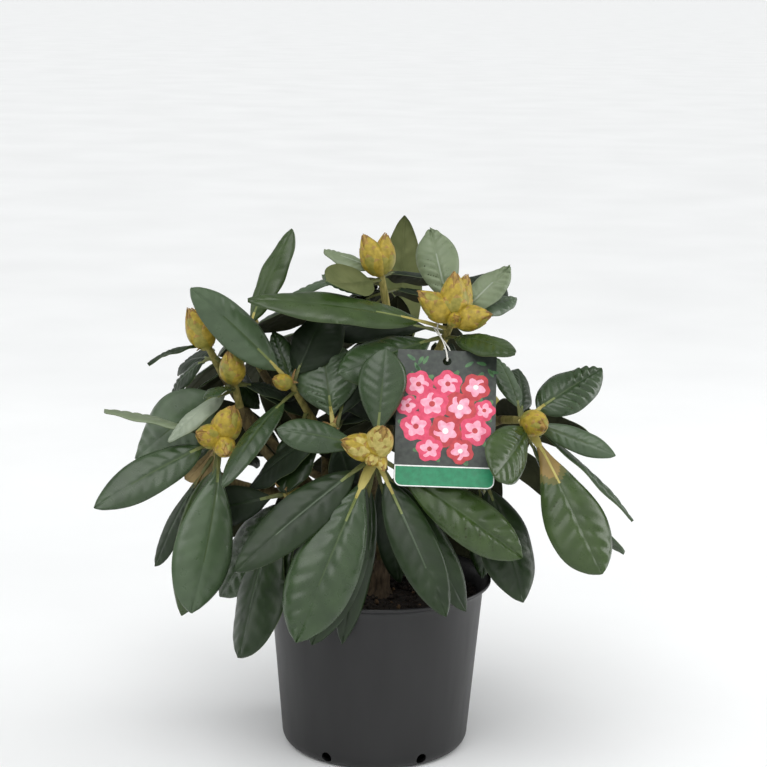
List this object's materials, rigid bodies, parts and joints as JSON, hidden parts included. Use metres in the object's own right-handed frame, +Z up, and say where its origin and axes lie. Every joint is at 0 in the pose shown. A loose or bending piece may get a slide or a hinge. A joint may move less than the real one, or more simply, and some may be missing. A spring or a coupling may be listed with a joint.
{
  "type": "potted rhododendron shrub",
  "caption": "Young evergreen rhododendron in a round black nursery pot, with drooping whorls of leathery leaves, fat flower buds and a plain hang label.",
  "frame": {"origin": "centre of the pot's flat underside", "axes": "+Z up along the pot's axis; the viewer stands at -Y, with +X to the viewer's right"},
  "size_m": [0.4299, 0.3373, 0.4292],
  "materials": {
    "pot": "thin black moulded plastic with a satin sheen",
    "soil": "damp dark peat compost with fine fibres",
    "bark": "thin brown-grey bark, greener on the young shoots",
    "foliage": "leathery dark green leaf with a satin sheen, tan felt beneath",
    "label": "smooth printed plastic card",
    "tie": "thin white cord"
  },
  "bodies": {
    "root": {"pot": "pot", "soil": "soil", "trunk": "bark", "bough_left": "bark", "bough_right": "bark", "bough_back": "bark", "bough_centre": "bark", "shoot_front": "bark", "shoot_top_right": "bark", "shoot_right": "bark", "shoot_left": "bark", "shoot_inner_left": "bark", "shoot_upper_left": "bark", "shoot_mid_left": "bark", "shoot_top": "bark", "shoot_inner": "bark", "shoot_low_left": "bark", "shoot_low_right": "bark", "shoot_back_left": "bark", "shoot_back_right": "bark", "shoot_back": "bark", "shoot_low_back_left": "bark", "shoot_low_back_right": "bark", "label": "label", "label_tie": "tie", "foliage_front": "foliage", "foliage_top_right": "foliage", "foliage_right": "foliage", "foliage_left": "foliage", "foliage_inner_left": "foliage", "foliage_upper_left": "foliage", "foliage_mid_left": "foliage", "foliage_top": "foliage", "foliage_inner": "foliage", "foliage_low_left": "foliage", "foliage_low_right": "foliage", "foliage_back_left": "foliage", "foliage_back_right": "foliage", "foliage_back": "foliage", "foliage_low_back_left": "foliage", "foliage_low_back_right": "foliage"}
  },
  "joints": []
}
